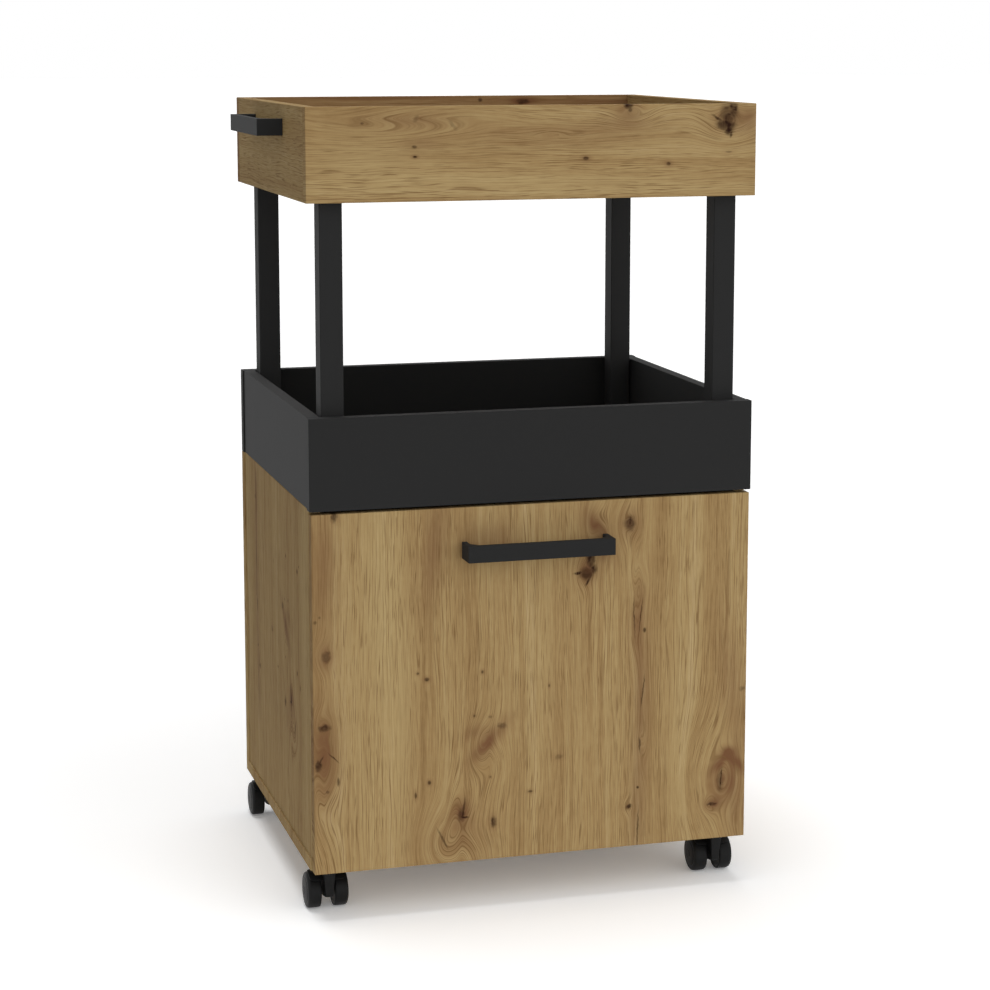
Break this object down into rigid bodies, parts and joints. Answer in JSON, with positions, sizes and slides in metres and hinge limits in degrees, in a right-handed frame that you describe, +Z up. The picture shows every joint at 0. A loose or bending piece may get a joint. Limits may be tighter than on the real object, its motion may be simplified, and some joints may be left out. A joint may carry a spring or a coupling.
{
  "type": "rolling bar cabinet",
  "caption": "Rolling bar cabinet: an oak-look carcass on castors with a deep pull-out front, a black tray on top, square posts and a raised oak-look tray with a side handle.",
  "frame": {"origin": "on the floor, under the middle of the cabinet's boards", "axes": "+X to the right as seen from the front, +Y to the back, +Z up"},
  "size_m": [0.6341, 0.5345, 1.058],
  "materials": {
    "oak_board": "oak-look laminate, matt, knotty",
    "black_board": "black laminate, matt",
    "black_post": "black laminate, matt",
    "drawer_board": "black laminate, matt",
    "hardboard": "black-faced hardboard",
    "black_metal": "black powder coat",
    "zinc_steel": "zinc plated",
    "runner_steel": "white epoxy coat",
    "nylon": "natural nylon",
    "beech": "raw beech",
    "castor_plastic": "black, satin",
    "wheel_plastic": "black, satin"
  },
  "bodies": {
    "cabinet": {"back_left_post": "black_post", "back_panel": "oak_board", "back_right_post": "black_post", "bottom_panel": "oak_board", "cabinet_dowels": "beech", "cabinet_runner_screws": "zinc_steel", "cabinet_screws": "zinc_steel", "castor_plates": "zinc_steel", "castor_screws": "zinc_steel", "front_left_post": "black_post", "front_right_post": "black_post", "left_cabinet_runner": "runner_steel", "left_side": "oak_board", "lower_tray_back": "black_board", "lower_tray_floor": "black_board", "lower_tray_front": "black_board", "lower_tray_left": "black_board", "lower_tray_right": "black_board", "right_cabinet_runner": "runner_steel", "right_side": "oak_board", "side_handle": "black_metal", "side_handle_screws": "zinc_steel", "upper_tray_back": "oak_board", "upper_tray_floor": "oak_board", "upper_tray_front": "oak_board", "upper_tray_left": "oak_board", "upper_tray_right": "oak_board"},
    "drawer": {"drawer_front": "oak_board", "drawer_handle": "black_metal", "drawer_handle_screws": "zinc_steel", "drawer_left_side": "drawer_board", "drawer_right_side": "drawer_board", "drawer_back": "drawer_board", "drawer_base": "hardboard", "drawer_base_screws": "zinc_steel", "drawer_dowels": "beech", "drawer_screws": "zinc_steel", "front_cams": "zinc_steel", "front_cam_bolts": "zinc_steel", "left_drawer_runner": "runner_steel", "right_drawer_runner": "runner_steel", "drawer_runner_screws": "zinc_steel"},
    "left_cabinet_roller": {"left_cabinet_roller": "nylon"},
    "left_drawer_roller": {"left_drawer_roller": "nylon"},
    "right_cabinet_roller": {"right_cabinet_roller": "nylon"},
    "right_drawer_roller": {"right_drawer_roller": "nylon"},
    "front_left_castor": {"front_left_castor_frame": "castor_plastic"},
    "front_left_wheel_pair": {"front_left_castor_axle": "zinc_steel", "front_left_castor_wheels": "wheel_plastic"},
    "front_right_castor": {"front_right_castor_frame": "castor_plastic"},
    "front_right_wheel_pair": {"front_right_castor_axle": "zinc_steel", "front_right_castor_wheels": "wheel_plastic"},
    "back_left_castor": {"back_left_castor_frame": "castor_plastic"},
    "back_left_wheel_pair": {"back_left_castor_axle": "zinc_steel", "back_left_castor_wheels": "wheel_plastic"},
    "back_right_castor": {"back_right_castor_frame": "castor_plastic"},
    "back_right_wheel_pair": {"back_right_castor_axle": "zinc_steel", "back_right_castor_wheels": "wheel_plastic"}
  },
  "joints": [
    {"name": "drawer_slide", "type": "slide", "parent": "cabinet", "child": "drawer", "axis": [0, -1, 0], "range_m": [0, 0.34]},
    {"name": "left_cabinet_roller_spin", "type": "hinge", "parent": "cabinet", "child": "left_cabinet_roller", "pos_m": [-0.2767, -0.212, 0.1065], "axis": [1, 0, 0], "range_deg": [-10, 1960]},
    {"name": "left_drawer_roller_spin", "type": "hinge", "parent": "drawer", "child": "left_drawer_roller", "pos_m": [-0.2748, 0.205, 0.1065], "axis": [1, 0, 0], "range_deg": [-10, 1960]},
    {"name": "right_cabinet_roller_spin", "type": "hinge", "parent": "cabinet", "child": "right_cabinet_roller", "pos_m": [0.2767, -0.212, 0.1065], "axis": [1, 0, 0], "range_deg": [-10, 1960]},
    {"name": "right_drawer_roller_spin", "type": "hinge", "parent": "drawer", "child": "right_drawer_roller", "pos_m": [0.2748, 0.205, 0.1065], "axis": [1, 0, 0], "range_deg": [-10, 1960]},
    {"name": "front_left_swivel", "type": "hinge", "parent": "cabinet", "child": "front_left_castor", "pos_m": [-0.271, -0.2055, 0.055], "axis": [0, 0, 1], "continuous": true},
    {"name": "front_left_roll", "type": "hinge", "parent": "front_left_castor", "child": "front_left_wheel_pair", "pos_m": [-0.271, -0.1795, 0.024], "axis": [1, 0, 0], "continuous": true},
    {"name": "front_right_swivel", "type": "hinge", "parent": "cabinet", "child": "front_right_castor", "pos_m": [0.271, -0.2055, 0.055], "axis": [0, 0, 1], "continuous": true},
    {"name": "front_right_roll", "type": "hinge", "parent": "front_right_castor", "child": "front_right_wheel_pair", "pos_m": [0.271, -0.1795, 0.024], "axis": [1, 0, 0], "continuous": true},
    {"name": "back_left_swivel", "type": "hinge", "parent": "cabinet", "child": "back_left_castor", "pos_m": [-0.271, 0.2055, 0.055], "axis": [0, 0, 1], "continuous": true},
    {"name": "back_left_roll", "type": "hinge", "parent": "back_left_castor", "child": "back_left_wheel_pair", "pos_m": [-0.271, 0.2315, 0.024], "axis": [1, 0, 0], "continuous": true},
    {"name": "back_right_swivel", "type": "hinge", "parent": "cabinet", "child": "back_right_castor", "pos_m": [0.271, 0.2055, 0.055], "axis": [0, 0, 1], "continuous": true},
    {"name": "back_right_roll", "type": "hinge", "parent": "back_right_castor", "child": "back_right_wheel_pair", "pos_m": [0.271, 0.2315, 0.024], "axis": [1, 0, 0], "continuous": true}
  ],
  "couplings": [
    {"joint": "left_cabinet_roller_spin", "follows": "drawer_slide", "rad_per_m": 100},
    {"joint": "left_drawer_roller_spin", "follows": "drawer_slide", "rad_per_m": 100},
    {"joint": "right_cabinet_roller_spin", "follows": "drawer_slide", "rad_per_m": 100},
    {"joint": "right_drawer_roller_spin", "follows": "drawer_slide", "rad_per_m": 100}
  ]
}
